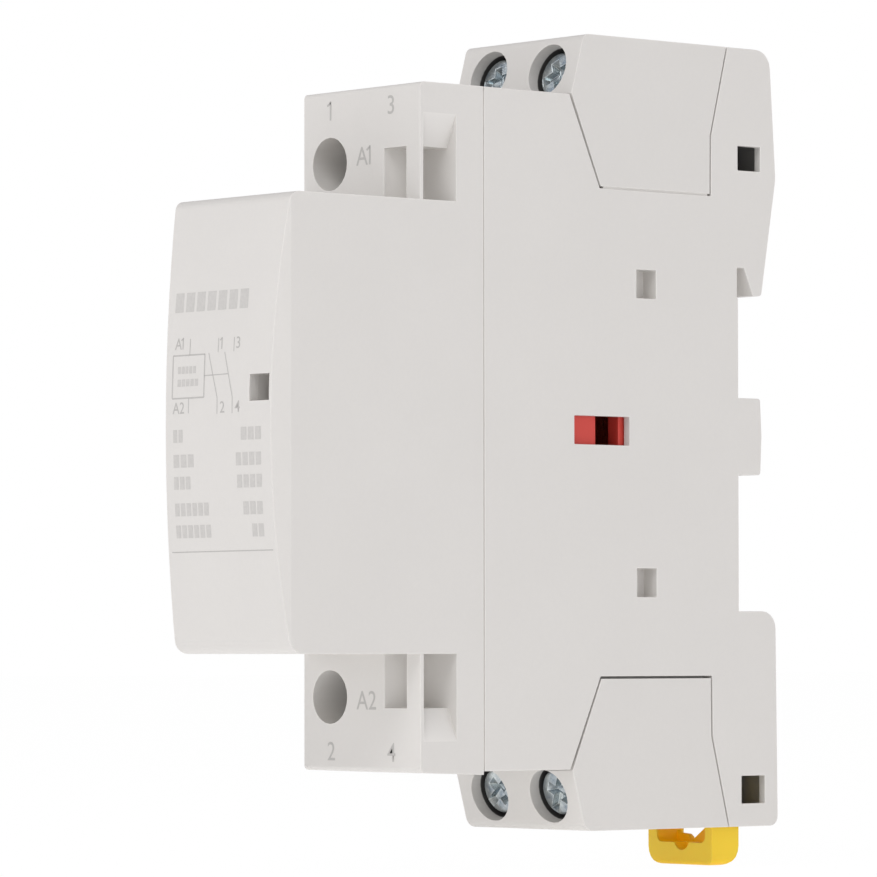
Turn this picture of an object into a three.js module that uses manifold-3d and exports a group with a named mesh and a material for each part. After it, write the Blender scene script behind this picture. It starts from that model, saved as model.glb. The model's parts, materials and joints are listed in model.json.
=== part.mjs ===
// A one-module DIN rail contactor, modelled as the separate pieces it is assembled from.
// Millimetres. +X is to the right seen from the front, the front faces -Y and +Z is up.
// The origin lies on the floor of the rail slot, at mid-width and at the nose's mid-height.

import * as THREE from "three";
import { mergeVertices } from "three/addons/utils/BufferGeometryUtils.js";
import Module from "manifold-3d";

const wasm = await Module();
wasm.setup();

// ---------- Driving dimensions ----------

const MODULE_WIDTH = 18;
const SIDE_WALL = 0.9;
const SHELL = 1.1; // front, top and bottom walls
const SEAM = 0.15; // joint line between mouldings
const FIT = 0.25; // clearance of a sliding or dropped-in piece
const CUT_THROUGH = 1; // how far a cutter runs past the wall it cuts

const NOSE_HALF = 22.3; // half of the nominal 45 mm nose, less the mould's play
const NOSE_FRONT = -61.2; // the crown at mid-height
const CROWN_RADIUS = 131;
const SIDE_FRONT = -59.3; // where the side faces turn into the front bevel
const BEVEL_SLOPE = 0.42; // width lost per millimetre towards the front
const SHOULDER_FRONT = -43;
const SHOULDER_HALF = 33.9;
const LOWER_DRAFT = 0.35; // the lower shoulder's edge drops by this towards the seam
const SPLIT_Y = -34.75; // the seam between front cover and base
const BODY_HALF = 40.1;

const RAIL_HEIGHT = 35;
const RAIL_PLAY = 0.4;
const SLOT_FLOOR = -18; // lower shelf of the rail slot
const HOOK_LIP = 2.85; // how far the hook reaches down over the rail's edge
const REAR = 5.2;
const BACK_WALL = 1.2;
const TAB_HALF = 3.95;
const TAB_DEPTH = 3.1;
const LIP_RELIEF = 0.15; // keeps the floor under the hook off the rail face

const BLOCK_FRONT = -23.3; // where the terminal block meets the base's top face
const BLOCK_NECK = -19.2;
const BLOCK_FLOOR = 24.6;
const BLOCK_HEEL = -3.8;
const BLOCK_BEND = 30.8;
const BLOCK_BACK = -1.4;

const POLE_X = 4.5; // both poles' centres, left and right of the middle
const SCREW_TILT = THREE.MathUtils.degToRad(15);
const SCREW_FACE_Z = 36.7; // where the screw axis leaves the tilted face
const SCREW_HEAD_RADIUS = 2.45;
const SCREW_HEAD_DEPTH = 1.3; // head below the face
const SCREW_HEAD_HEIGHT = 2;
const SCREW_RADIUS = 1.75;
const SCREW_LENGTH = 6.9; // under the head
const CLAMP_TRAVEL = 3.5;
const CLAMP_WALL = 0.9;
const CLAMP_NUT = 1.7;
const WIRE_SPACE = 4.2;

const CONTACT_WIDTH = 4.4;
const CONTACT_SHEET = 1;
const CONTACT_Y = -20.3; // middle of the fixed contact sheets
const BRIDGE_SHEET = 1.2;
const TIP_RADIUS = 1.6;
const TIP_HEIGHT = 1;
const TIP_Z = 9.5;
const TIP_TRAVEL = 2.4;
const STROKE = 3; // travel of the carrier

const COIL_SCREW_Z = 26.6;
const COIL_BORE_RADIUS = 2.68;
const COIL_HEAD_DEPTH = 5.6;
const COIL_HEAD_RADIUS = 2.35;
const COIL_HEAD_HEIGHT = 1.8;
const COIL_SCREW_RADIUS = 1.45;
const COIL_SCREW_LENGTH = 6;
const COIL_CLAMP_TRAVEL = 2;
const COIL_WIRE_SPACE = 2.6;

const CORE_STACK = 7;
const POLE_FACE = -36.6;
const YOKE_BACK = -53;
const YOKE_FRONT = -58.3;
const CENTRE_POLE_HALF = 3.5;
const OUTER_POLE_IN = 13.5;
const OUTER_POLE_OUT = 17;
const ARMATURE_THICKNESS = 4.5;
const CARRIER_HALF_HEIGHT = 5;
const CARRIER_BACK = -8;
const SPRING_Z = 20.5;
const SPRING_RADIUS = 1.75;
const SPRING_WIRE = 0.25;
const SPRING_SEAT = -38.2;

const CLIP_LEFT = -4.35;
const CLIP_RIGHT = 5.25;
const CLIP_FRONT = -0.45;
const CLIP_BACK = 3.4;
const CLIP_BOTTOM = -44.2;
const CLIP_TIP = -18.3;

// ---------- Values worked out from them ----------

const half = MODULE_WIDTH / 2;
const inside = half - SIDE_WALL;
const coilX = CORE_STACK / 2 + 3 - inside; // leaves 3 mm for the winding on the left
const springX = coilX + 0.7;
const coilScrewX = COIL_BORE_RADIUS + 1.37 - half; // leaves a wall outside the bore
const slotTop = SLOT_FLOOR + RAIL_HEIGHT + RAIL_PLAY;
const lipBottom = slotTop - HOOK_LIP;
const armatureFront = POLE_FACE + 0.3 + STROKE;
const armatureBack = armatureFront + ARMATURE_THICKNESS;
const plateFront = armatureBack + FIT;
const plateBack = plateFront + 1.9;
const fixedTipFace = CONTACT_Y + CONTACT_SHEET / 2 + 0.05 + TIP_HEIGHT;
const bridgeTipFace = fixedTipFace + TIP_TRAVEL + 0.05;
const bridgeFront = bridgeTipFace + TIP_HEIGHT + 0.05;
const bridgeBack = bridgeFront + BRIDGE_SHEET;
const carrierWall = CARRIER_BACK - 1.2;
const carrierHalf = inside - 0.4;

// ---------- Shape helpers ----------

// A solid for joining and cutting, from a closed three.js geometry.
function solid(geometry) {
  const bare = geometry.index ? geometry.toNonIndexed() : geometry.clone();
  bare.deleteAttribute("normal");
  bare.deleteAttribute("uv");
  const merged = mergeVertices(bare, 1e-4);
  const mesh = new wasm.Mesh({
    numProp: 3,
    vertProperties: merged.attributes.position.array,
    triVerts: new Uint32Array(merged.index.array),
  });
  return new wasm.Manifold(mesh);
}

// The three.js geometry of a finished solid.
function geometryOf(manifold) {
  const mesh = manifold.getMesh();
  const geometry = new THREE.BufferGeometry();
  geometry.setAttribute("position", new THREE.BufferAttribute(mesh.vertProperties, 3));
  geometry.setIndex(new THREE.BufferAttribute(mesh.triVerts, 1));
  return geometry;
}

const join = (first, ...others) => others.reduce((sum, next) => sum.add(next), first);
const cut = (first, ...others) => others.reduce((left, next) => left.subtract(next), first);

// A box between two values on each axis.
function box([x0, x1], [y0, y1], [z0, z1]) {
  const geometry = new THREE.BoxGeometry(x1 - x0, y1 - y0, z1 - z0);
  return solid(geometry.translate((x0 + x1) / 2, (y0 + y1) / 2, (z0 + z1) / 2));
}

const around = (middle, reach) => [middle - reach, middle + reach];

// A closed outline through corners [a, b, radius]; a radius rounds its corner with an arc.
function outline(corners) {
  const count = corners.length;
  const points = [];
  corners.forEach(([a, b, radius], i) => {
    const corner = new THREE.Vector2(a, b);
    if (!radius) {
      points.push(corner);
      return;
    }
    const [a0, b0] = corners[(i + count - 1) % count];
    const [a1, b1] = corners[(i + 1) % count];
    const back = new THREE.Vector2(a0, b0).sub(corner).normalize();
    const on = new THREE.Vector2(a1, b1).sub(corner).normalize();
    const halfAngle = Math.acos(back.dot(on)) / 2;
    const middle = back.clone().add(on).normalize();
    const centre = corner.clone().addScaledVector(middle, radius / Math.sin(halfAngle));
    const reach = radius / Math.tan(halfAngle);
    const start = corner.clone().addScaledVector(back, reach).sub(centre).angle();
    const end = corner.clone().addScaledVector(on, reach).sub(centre).angle();
    const turn = Math.atan2(Math.sin(end - start), Math.cos(end - start));
    const steps = 5;
    for (let k = 0; k <= steps; k++) {
      const angle = start + (turn * k) / steps;
      const rim = new THREE.Vector2(Math.cos(angle), Math.sin(angle));
      points.push(centre.clone().addScaledVector(rim, radius));
    }
  });
  return new THREE.Shape(points);
}

const extrude = (shape, depth) =>
  new THREE.ExtrudeGeometry(shape, { depth, bevelEnabled: false, curveSegments: 6 });

// Outline corners are [y, z]; the solid runs from x0 to x1.
function sideways(corners, [x0, x1]) {
  const geometry = extrude(outline(corners), x1 - x0);
  const sideView = new THREE.Matrix4().set(0, 0, 1, 0, 1, 0, 0, 0, 0, 1, 0, 0, 0, 0, 0, 1);
  return solid(geometry.applyMatrix4(sideView).translate(x0, 0, 0));
}

// Outline corners are [x, z]; the solid runs from y0 to y1.
function frontways(corners, [y0, y1]) {
  const geometry = extrude(outline(corners), y1 - y0);
  return solid(geometry.rotateX(Math.PI / 2).translate(0, y1, 0));
}

// Outline corners are [x, y]; the solid runs from z0 to z1.
function upright(corners, [z0, z1]) {
  return solid(extrude(outline(corners), z1 - z0).translate(0, 0, z0));
}

// A round bar along Y, centred on [x, z].
function barY(radius, [x, z], [y0, y1], segments = 24) {
  const geometry = new THREE.CylinderGeometry(radius, radius, y1 - y0, segments);
  return solid(geometry.translate(x, (y0 + y1) / 2, z));
}

// Corners mirrored to the other end of the body, in reversed order so that a loop stays one.
const mirrored = (corners) =>
  corners.map(([y, z, radius]) => [y, -z, radius]).reverse();

// ---------- The assembly ----------

const contactor = new THREE.Group();

const finish = (color, roughness, metalness = 0) =>
  new THREE.MeshStandardMaterial({ color, roughness, metalness });

const finishes = {
  housing: finish(0xdad6d2, 0.55),
  block: finish(0xd6d2ce, 0.55),
  clip: finish(0xe8c846, 0.45),
  carrier: finish(0xc84b41, 0.5),
  flag: finish(0x3a3a3c, 0.6),
  bobbin: finish(0xe6e2d6, 0.5),
  winding: finish(0xb0642c, 0.35, 0.6),
  steel: finish(0x8f9296, 0.4, 1),
  zinc: finish(0xb9bec6, 0.3, 1),
  copper: finish(0xc27a4a, 0.35, 1),
  silver: finish(0xd8d8d4, 0.3, 1),
  spring: finish(0x9a9da2, 0.3, 1),
};

// Adds one named piece; a lower piece is the upper one mirrored in the mid-height plane.
function piece(name, shape, material, { parent = contactor, lower = false } = {}) {
  const geometry = shape.isBufferGeometry ? shape : geometryOf(shape);
  const mesh = new THREE.Mesh(geometry, material);
  mesh.name = name;
  if (lower) mesh.scale.z = -1;
  parent.add(mesh);
  return mesh;
}

// ---------- Front cover ----------

// The crowned front of the nose, as points from its top edge to its bottom edge.
function crown(inset, reach, radiusTop, radiusBottom) {
  const steps = 14;
  const points = [];
  for (let k = 0; k <= steps; k++) {
    const z = reach - (2 * reach * k) / steps;
    const sag = CROWN_RADIUS - Math.sqrt(CROWN_RADIUS ** 2 - z ** 2);
    const radius = k === 0 ? radiusTop : k === steps ? radiusBottom : 0;
    points.push([NOSE_FRONT + inset + sag, z, radius]);
  }
  return points;
}

function frontCover() {
  const back = SPLIT_Y - SEAM / 2;
  const skin = sideways(
    [
      [back, SHOULDER_HALF],
      [SHOULDER_FRONT, SHOULDER_HALF, 0.5],
      [SHOULDER_FRONT, NOSE_HALF],
      ...crown(0, NOSE_HALF, 1.1, 1.7),
      [SHOULDER_FRONT, -NOSE_HALF],
      [SHOULDER_FRONT, -SHOULDER_HALF, 0.5],
      [back, -SHOULDER_HALF - LOWER_DRAFT],
    ],
    [-half, half],
  );
  const tipHalf = half - BEVEL_SLOPE * (SIDE_FRONT - NOSE_FRONT + 1);
  const plan = upright(
    [
      [-half, back],
      [-half, SIDE_FRONT],
      [-tipHalf, NOSE_FRONT - 1],
      [tipHalf, NOSE_FRONT - 1],
      [half, SIDE_FRONT],
      [half, back],
    ],
    [-SHOULDER_HALF - CUT_THROUGH, SHOULDER_HALF + CUT_THROUGH],
  );
  const hollow = sideways(
    [
      [back + CUT_THROUGH, SHOULDER_HALF - SHELL],
      [SHOULDER_FRONT + SHELL, SHOULDER_HALF - SHELL],
      [SHOULDER_FRONT + SHELL, NOSE_HALF - SHELL],
      ...crown(SHELL, NOSE_HALF - SHELL, 0, 0),
      [SHOULDER_FRONT + SHELL, -NOSE_HALF + SHELL],
      [SHOULDER_FRONT + SHELL, -SHOULDER_HALF + SHELL],
      [back + CUT_THROUGH, -SHOULDER_HALF + SHELL],
    ],
    [-inside, inside],
  );
  let cover = cut(skin.intersect(plan), hollow);
  for (const end of [1, -1]) {
    cover = fitShoulder(cover, end);
  }
  const windowX = [inside - 3.2, inside - 0.2];
  const window = box(windowX, [NOSE_FRONT - 1, NOSE_FRONT + SHELL + 1], [2.1, 4.7]);
  return cut(cover, window);
}

// Adds one shoulder's coil screw bore, spring seat and accessory pocket.
function fitShoulder(cover, end) {
  const span = (low, high) => (end > 0 ? [low, high] : [-high, -low]);
  const wall = SHOULDER_FRONT + SHELL / 2;
  const boreEnd = SPLIT_Y - 0.45;
  const centre = [coilScrewX, end * COIL_SCREW_Z];
  const inner = [-inside - SIDE_WALL / 2, inside + SIDE_WALL / 2];
  const sleeve = barY(COIL_BORE_RADIUS + 0.75, centre, [wall, boreEnd]);
  const bore = barY(COIL_BORE_RADIUS, centre, [SHOULDER_FRONT - CUT_THROUGH, boreEnd + CUT_THROUGH]);
  const seatReach = SPRING_RADIUS + SPRING_WIRE + 0.5;
  const seatZ = span(OUTER_POLE_OUT + 0.6, SPRING_Z + seatReach);
  const seat = box(inner, [SPRING_SEAT - 1.4, SPRING_SEAT], seatZ);
  const pocketBack = -38.35;
  const pocketFront = SHOULDER_FRONT + 0.4;
  const deep = span(NOSE_HALF, 27.65);
  const lining = box([2.6, inner[1]], [wall, pocketBack + 0.95], span(NOSE_HALF - SHELL, 31.8));
  const pocket = box([3.5, half + CUT_THROUGH], [pocketFront, pocketBack], deep);
  const slot = box([3.5, 6.9], [SHOULDER_FRONT - CUT_THROUGH, pocketFront + 0.1], deep);
  const rampDepth = 1.4;
  const ramp = frontways(
    [
      [half - rampDepth, end * 27.6],
      [half + CUT_THROUGH, end * 27.6],
      [half + CUT_THROUGH, end * 30.9],
      [half, end * 30.9],
    ],
    [pocketFront, pocketBack],
  );
  return cut(join(cover, sleeve, seat, lining), bore, pocket, slot, ramp);
}

piece("front_cover", frontCover(), finishes.housing);

// ---------- Base housing ----------

// The edge of the base that the upper terminal block drops into, from front to back.
const blockSeat = [
  [BLOCK_FRONT, SHOULDER_HALF],
  [BLOCK_NECK, BLOCK_FLOOR],
  [BLOCK_HEEL, BLOCK_FLOOR],
  [BLOCK_HEEL + 0.05, BLOCK_BEND],
  [BLOCK_BACK, BODY_HALF],
];

function baseSkin() {
  const front = SPLIT_Y + SEAM / 2;
  return sideways(
    [
      [front, SHOULDER_HALF],
      ...blockSeat,
      [REAR - 0.65, BODY_HALF, 2],
      [REAR + 0.2, 26.8, 5],
      [TAB_DEPTH + 0.2, lipBottom, 0.4],
      [2.1, lipBottom],
      [0.83, slotTop],
      [-LIP_RELIEF, slotTop],
      [-LIP_RELIEF, lipBottom - 0.3],
      [0, lipBottom - 0.3],
      [0, TAB_HALF],
      [TAB_DEPTH, TAB_HALF, 0.3],
      [TAB_DEPTH + 0.2, 0],
      [TAB_DEPTH, -TAB_HALF, 0.3],
      [0, -TAB_HALF],
      [0, SLOT_FLOOR],
      [REAR, SLOT_FLOOR, 1.8],
      [REAR + 0.25, -BODY_HALF, 1],
      ...mirrored(blockSeat),
      [front, -SHOULDER_HALF],
    ],
    [-half, half],
  );
}

// The hollow of the base keeps one wall thickness to everything around it.
function baseHollow() {
  const slope = (BLOCK_NECK - BLOCK_FRONT) / (SHOULDER_HALF - BLOCK_FLOOR);
  const shift = SHELL * Math.hypot(1, slope);
  const wallAt = (z) => BLOCK_FRONT - shift + slope * (SHOULDER_HALF - z);
  const top = SHOULDER_HALF - SHELL;
  const floor = BLOCK_FLOOR - SHELL - 0.1;
  const upper = [
    [SPLIT_Y - CUT_THROUGH, top],
    [wallAt(top), top],
    [wallAt(floor), floor],
    [-BACK_WALL, floor],
  ];
  return sideways([...upper, ...mirrored(upper)], [-inside, inside]);
}

const clampHalf = CONTACT_WIDTH / 2 + 0.3 + CLAMP_WALL;
const coilClampX = 2;
const coilTabY = SHOULDER_FRONT + COIL_HEAD_DEPTH + COIL_HEAD_HEIGHT + COIL_SCREW_LENGTH + 0.3;
const COIL_SHEET = 0.8;
const chuteFront = coilTabY + COIL_SHEET - 0.5;
const chuteBack = chuteFront + 4.3;
const chuteHalf = 2.2;

// Adds one end's coil wire entry, arc wall, latch pockets and contact slots.
function fitBaseEnd(base, end) {
  const span = (low, high) => (end > 0 ? [low, high] : [-high, -low]);
  const top = SHOULDER_HALF - SHELL;
  const sideInner = inside + SIDE_WALL / 2;
  const floorWall = BLOCK_FLOOR - SHELL;
  const entryX = around(coilScrewX, chuteHalf);
  const chute = box(
    [-sideInner, entryX[1] + 0.9],
    [chuteFront - 0.9, chuteBack + 0.9],
    span(top - 3, top + SHELL / 2),
  );
  const entryZ = span(top - 3 - CUT_THROUGH, SHOULDER_HALF + CUT_THROUGH);
  const entry = box(entryX, [chuteFront, chuteBack], entryZ);
  const arcWall = box(around(0, 0.5), [CONTACT_Y - 2.7, -BACK_WALL / 2], span(6.5, floorWall + 0.5));
  const latchBack = box([inside - 1.8, sideInner], [-15, -10.7], span(12.8, 17.4));
  const latch = box([inside - 1.1, half + CUT_THROUGH], [-14.2, -11.5], span(13.7, 16.6));
  const stripZ = span(floorWall - CUT_THROUGH, BLOCK_FLOOR + CUT_THROUGH);
  const strips = [-POLE_X, POLE_X].map((x) =>
    box(around(x, CONTACT_WIDTH / 2 + 0.2), [-15.6, -12.6], stripZ),
  );
  return cut(join(base, chute, arcWall, latchBack), entry, latch, ...strips);
}

function baseHousing() {
  let base = cut(baseSkin(), baseHollow());
  for (const end of [1, -1]) {
    base = fitBaseEnd(base, end);
  }
  const stop = box(around(0, 1.6), [CARRIER_BACK + 0.2, -BACK_WALL / 2], around(0, 2));
  const outwards = [inside - 0.5, half + CUT_THROUGH];
  const slideWindow = box(outwards, [-22.7, -15.2], [-1.3, 1.6]);
  const hookHollow = box([1, inside], [-1.2, 4], [26.1, 31.6]);
  const hookWindow = box(outwards, [0, 3.2], [27.45, 30]);
  const channelX = [CLIP_LEFT - FIT, CLIP_RIGHT + FIT];
  const channelTop = SLOT_FLOOR - 1.2;
  const channel = box(
    channelX,
    [CLIP_FRONT - 0.15, CLIP_BACK + 0.2],
    [-BODY_HALF - CUT_THROUGH, channelTop],
  );
  const tipSlot = box(channelX, [1, CLIP_BACK + 0.2], [channelTop - 1, SLOT_FLOOR + CUT_THROUGH]);
  const clipHollow = box([channelX[1] - 0.5, inside], [-0.4, 4.2], [-39, -33]);
  const clipWindow = box(outwards, [0.3, 3.6], [-37.75, -34.9]);
  const windows = [slideWindow, hookHollow, hookWindow, clipHollow, clipWindow];
  return cut(join(base, stop), channel, tipSlot, ...windows);
}

piece("base_housing", baseHousing(), finishes.housing);

// ---------- Terminals ----------

// The face of the upper block leans back by the screw tilt through this point.
const tiltedFaceY = BLOCK_FRONT + 1.03;

// World [y, z] of a point u along the upper screw axis and v across it.
function tilted(u, v) {
  const c = Math.cos(SCREW_TILT);
  const s = Math.sin(SCREW_TILT);
  return [tiltedFaceY + c * u + s * v, SCREW_FACE_Z - s * u + c * v];
}

// A geometry modelled along the screw axis, moved to its place in the upper block.
function atScrew(geometry, x) {
  return solid(geometry.rotateX(-SCREW_TILT).translate(x, tiltedFaceY, SCREW_FACE_Z));
}

const headEnd = SCREW_HEAD_DEPTH + SCREW_HEAD_HEIGHT;
const screwTip = headEnd + SCREW_LENGTH;
const stripU = screwTip + 0.3;
const clampInner = stripU + CONTACT_SHEET + WIRE_SPACE;
const clampEnd = clampInner + CLAMP_WALL + 0.3;
const nutBack = headEnd + 0.5 + CLAMP_TRAVEL + CLAMP_NUT;
const CLAMP_HALF_LENGTH = 3.1;

function terminalBlock(floorGap, edgeRadius) {
  const gap = SEAM + 0.05;
  const slope = (BLOCK_NECK - BLOCK_FRONT) / (SHOULDER_HALF - BLOCK_FLOOR);
  const shift = gap * Math.hypot(1, slope);
  const floor = BLOCK_FLOOR + floorGap;
  const shell = sideways(
    [
      [tilted(0, (SHOULDER_HALF - SCREW_FACE_Z) / Math.cos(SCREW_TILT))[0], SHOULDER_HALF + 0.1],
      [BLOCK_NECK + shift - slope * floorGap, floor],
      [BLOCK_HEEL - gap, floor],
      [BLOCK_HEEL + 0.05 - gap, BLOCK_BEND],
      [BLOCK_BACK - gap, BODY_HALF],
      [tilted(0, (BODY_HALF - SCREW_FACE_Z) / Math.cos(SCREW_TILT))[0], BODY_HALF, edgeRadius],
    ],
    [-half, half],
  );
  const pocketStart = headEnd + 0.3;
  const pocketEnd = clampEnd + 0.4;
  const reach = CLAMP_HALF_LENGTH + 0.45;
  const boreRadius = SCREW_HEAD_RADIUS + 0.3;
  const cutters = [];
  for (const x of [-POLE_X, POLE_X]) {
    const bore = new THREE.CylinderGeometry(boreRadius, boreRadius, pocketStart + 5, 28);
    cutters.push(atScrew(bore.translate(0, (pocketStart + 0.3 - 5) / 2, 0), x));
    cutters.push(
      sideways(
        [
          tilted(pocketStart, reach),
          tilted(pocketStart, -reach),
          [BLOCK_NECK + 1.9, BLOCK_FLOOR],
          [BLOCK_NECK + 1.9, BLOCK_FLOOR - CUT_THROUGH],
          [BLOCK_HEEL - 2.7, BLOCK_FLOOR - CUT_THROUGH],
          tilted(pocketEnd, -reach),
          tilted(pocketEnd, reach),
        ],
        around(x, clampHalf + FIT),
      ),
    );
    const chuteY = tilted(stripU + CONTACT_SHEET, CLAMP_HALF_LENGTH)[0];
    const entryY = [chuteY - 0.1, chuteY + WIRE_SPACE + 0.3];
    cutters.push(box(around(x, 3), entryY, [BODY_HALF - 5.5, BODY_HALF + CUT_THROUGH]));
  }
  return cut(shell, ...cutters);
}

// A cross-recess screw along +Y, its head's top at headTop.
function screw(headTop, headRadius, headHeight, radius, length) {
  const profile = [
    new THREE.Vector2(0, headTop),
    new THREE.Vector2(headRadius - 0.3, headTop),
    new THREE.Vector2(headRadius, headTop + 0.3),
    new THREE.Vector2(headRadius, headTop + headHeight),
    new THREE.Vector2(radius, headTop + headHeight),
    new THREE.Vector2(radius, headTop + headHeight + length - 0.4),
    new THREE.Vector2(radius - 0.4, headTop + headHeight + length),
    new THREE.Vector2(0, headTop + headHeight + length),
  ];
  const body = solid(new THREE.LatheGeometry(profile, 20));
  const slotDepth = [headTop - 1, headTop + headHeight * 0.6];
  const arm = headRadius * 0.72;
  const recess = join(
    box(around(0, arm), slotDepth, around(0, 0.36)),
    box(around(0, 0.36), slotDepth, around(0, arm)),
  );
  return cut(body, recess);
}

// A rising cage clamp: its nut wall rides on the screw along Y, the wire passes along Z.
function cage(nut, inner, outer, halfWidth, wall, halfLength, holeRadius) {
  const ring = cut(
    box(around(0, halfWidth), [nut[0], outer], around(0, halfLength)),
    box(around(0, halfWidth - wall), [nut[1], inner], around(0, halfLength + CUT_THROUGH)),
  );
  return cut(ring, barY(holeRadius, [0, 0], [nut[0] - CUT_THROUGH, nut[1] + CUT_THROUGH], 20));
}

// A strip of sheet, centred on a bent line of [y, z] points, as an outline.
function stripOutline(line, thickness) {
  const points = line.map(([y, z]) => new THREE.Vector2(y, z));
  const side = (sign) =>
    points.map((point, i) => {
      const before = points[Math.max(i - 1, 0)];
      const after = points[Math.min(i + 1, points.length - 1)];
      const into = point.clone().sub(before).normalize();
      const out = after.clone().sub(point).normalize();
      const along = into.clone().add(out).normalize();
      const square = i === 0 ? out : into;
      const stretch = thickness / 2 / Math.max(Math.abs(along.dot(square)), 0.3);
      return [point.x - sign * along.y * stretch, point.y + sign * along.x * stretch];
    });
  return [...side(1), ...side(-1).reverse()];
}

const bendEnd = 15.5;

function fixedContact(x) {
  const middle = stripU + CONTACT_SHEET / 2;
  const line = [
    tilted(middle, CLAMP_HALF_LENGTH - 0.2),
    tilted(middle, -13),
    [CONTACT_Y, bendEnd],
    [CONTACT_Y, TIP_Z - 2.3],
  ];
  return sideways(stripOutline(line, CONTACT_SHEET), around(x, CONTACT_WIDTH / 2));
}

piece("upper_terminal_block", terminalBlock(SEAM + 0.05, 0.9), finishes.block);
piece("lower_terminal_block", terminalBlock(SEAM + 0.1, 1.3), finishes.block, { lower: true });

const terminals = [
  { number: 1, x: -POLE_X, end: 1 },
  { number: 2, x: -POLE_X, end: -1 },
  { number: 3, x: POLE_X, end: 1 },
  { number: 4, x: POLE_X, end: -1 },
];

for (const { number, x, end } of terminals) {
  const station = new THREE.Group();
  station.position.set(x, tiltedFaceY, end * SCREW_FACE_Z);
  station.rotation.x = -end * SCREW_TILT;
  contactor.add(station);
  piece(
    "terminal_screw_" + number,
    screw(SCREW_HEAD_DEPTH, SCREW_HEAD_RADIUS, SCREW_HEAD_HEIGHT, SCREW_RADIUS, SCREW_LENGTH),
    finishes.zinc,
    { parent: station },
  );
  piece(
    "terminal_cage_" + number,
    cage(
      [nutBack - CLAMP_NUT, nutBack],
      clampInner,
      clampEnd,
      clampHalf,
      CLAMP_WALL,
      CLAMP_HALF_LENGTH,
      SCREW_RADIUS + FIT,
    ),
    finishes.zinc,
    { parent: station },
  );
  const lower = end < 0;
  piece("fixed_contact_" + number, fixedContact(x), finishes.copper, { lower });
  const fixedTip = barY(TIP_RADIUS, [x, TIP_Z], [fixedTipFace - TIP_HEIGHT, fixedTipFace], 20);
  piece("fixed_tip_" + number, fixedTip, finishes.silver, { lower });
  const bridgeTip = barY(TIP_RADIUS, [x, TIP_Z], [bridgeTipFace, bridgeTipFace + TIP_HEIGHT], 20);
  piece("bridge_tip_" + number, bridgeTip, finishes.silver, { lower });
}

// ---------- Coil terminals ----------

const coilNutBack = COIL_HEAD_DEPTH + COIL_HEAD_HEIGHT + 1 + COIL_CLAMP_TRAVEL + 1.4;
const coilClampInner = coilTabY - SHOULDER_FRONT + COIL_SHEET + COIL_WIRE_SPACE;
const COIL_CLAMP_HALF_LENGTH = 2.6;

// The coil strip: a tab between clamp and wire, and a narrow leg forwards to the bobbin.
function coilTerminal() {
  const legX = [-inside + 0.3, -inside + 2.1];
  const tabX = [coilScrewX - coilClampX + 0.15, coilScrewX + coilClampX - 0.15];
  const bottom = COIL_SCREW_Z - 4;
  const legY = POLE_FACE - 0.3;
  const tab = box(tabX, [coilTabY, coilTabY + COIL_SHEET], [bottom, COIL_SCREW_Z + 2.4]);
  const footZ = [bottom, bottom + COIL_SHEET];
  const foot = box([legX[0], tabX[1] - 1], [coilTabY - 0.4, coilTabY + COIL_SHEET], footZ);
  const run = box(legX, [legY - COIL_SHEET, coilTabY + COIL_SHEET], footZ);
  const leg = box(legX, [legY - COIL_SHEET, legY], [OUTER_POLE_IN, bottom + COIL_SHEET]);
  return join(tab, foot, run, leg);
}

for (const [name, end] of [["a1", 1], ["a2", -1]]) {
  const station = new THREE.Group();
  station.position.set(coilScrewX, SHOULDER_FRONT, end * COIL_SCREW_Z);
  contactor.add(station);
  piece(
    "coil_screw_" + name,
    screw(COIL_HEAD_DEPTH, COIL_HEAD_RADIUS, COIL_HEAD_HEIGHT, COIL_SCREW_RADIUS, COIL_SCREW_LENGTH),
    finishes.zinc,
    { parent: station },
  );
  piece(
    "coil_cage_" + name,
    cage(
      [coilNutBack - 1.4, coilNutBack],
      coilClampInner,
      coilClampInner + 1,
      coilClampX + 0.7,
      0.7,
      COIL_CLAMP_HALF_LENGTH,
      COIL_SCREW_RADIUS + FIT,
    ),
    finishes.zinc,
    { parent: station },
  );
  piece("coil_terminal_" + name, coilTerminal(), finishes.copper, { lower: end < 0 });
}

// ---------- Electromagnet ----------

const stackX = around(coilX, CORE_STACK / 2);
const ringOuter = OUTER_POLE_OUT + 1;
const ringInner = OUTER_POLE_OUT - 2;
const ringBack = POLE_FACE - 0.3;
const RING_SHEET = 0.8;
const coilFront = YOKE_BACK + 0.3;
const coilBack = POLE_FACE - 0.3;
const FLANGE = 0.8;

// Half of the E-shaped core's outline; the other half mirrors it.
function magnetCore() {
  const upper = [
    [YOKE_FRONT, OUTER_POLE_OUT],
    [ringBack - 1.2, OUTER_POLE_OUT],
    [POLE_FACE, OUTER_POLE_OUT],
    [POLE_FACE, ringInner + RING_SHEET + 0.2],
    [ringBack - 1.2, ringInner + RING_SHEET + 0.2],
    [ringBack - 1.2, ringInner - 0.2],
    [POLE_FACE, ringInner - 0.2],
    [POLE_FACE, OUTER_POLE_IN],
    [YOKE_BACK, OUTER_POLE_IN],
    [YOKE_BACK, CENTRE_POLE_HALF],
    [POLE_FACE, CENTRE_POLE_HALF],
  ];
  return sideways([...upper, ...mirrored(upper)], stackX);
}

function shadingRing() {
  const y = [ringBack - 1, ringBack];
  const reach = CORE_STACK / 2;
  const loop = box(around(coilX, reach + 0.6), y, [ringInner, ringOuter]);
  const hole = box(
    around(coilX, reach + FIT),
    [y[0] - CUT_THROUGH, y[1] + CUT_THROUGH],
    [ringInner + RING_SHEET, ringOuter - RING_SHEET],
  );
  return cut(loop, hole);
}

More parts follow.
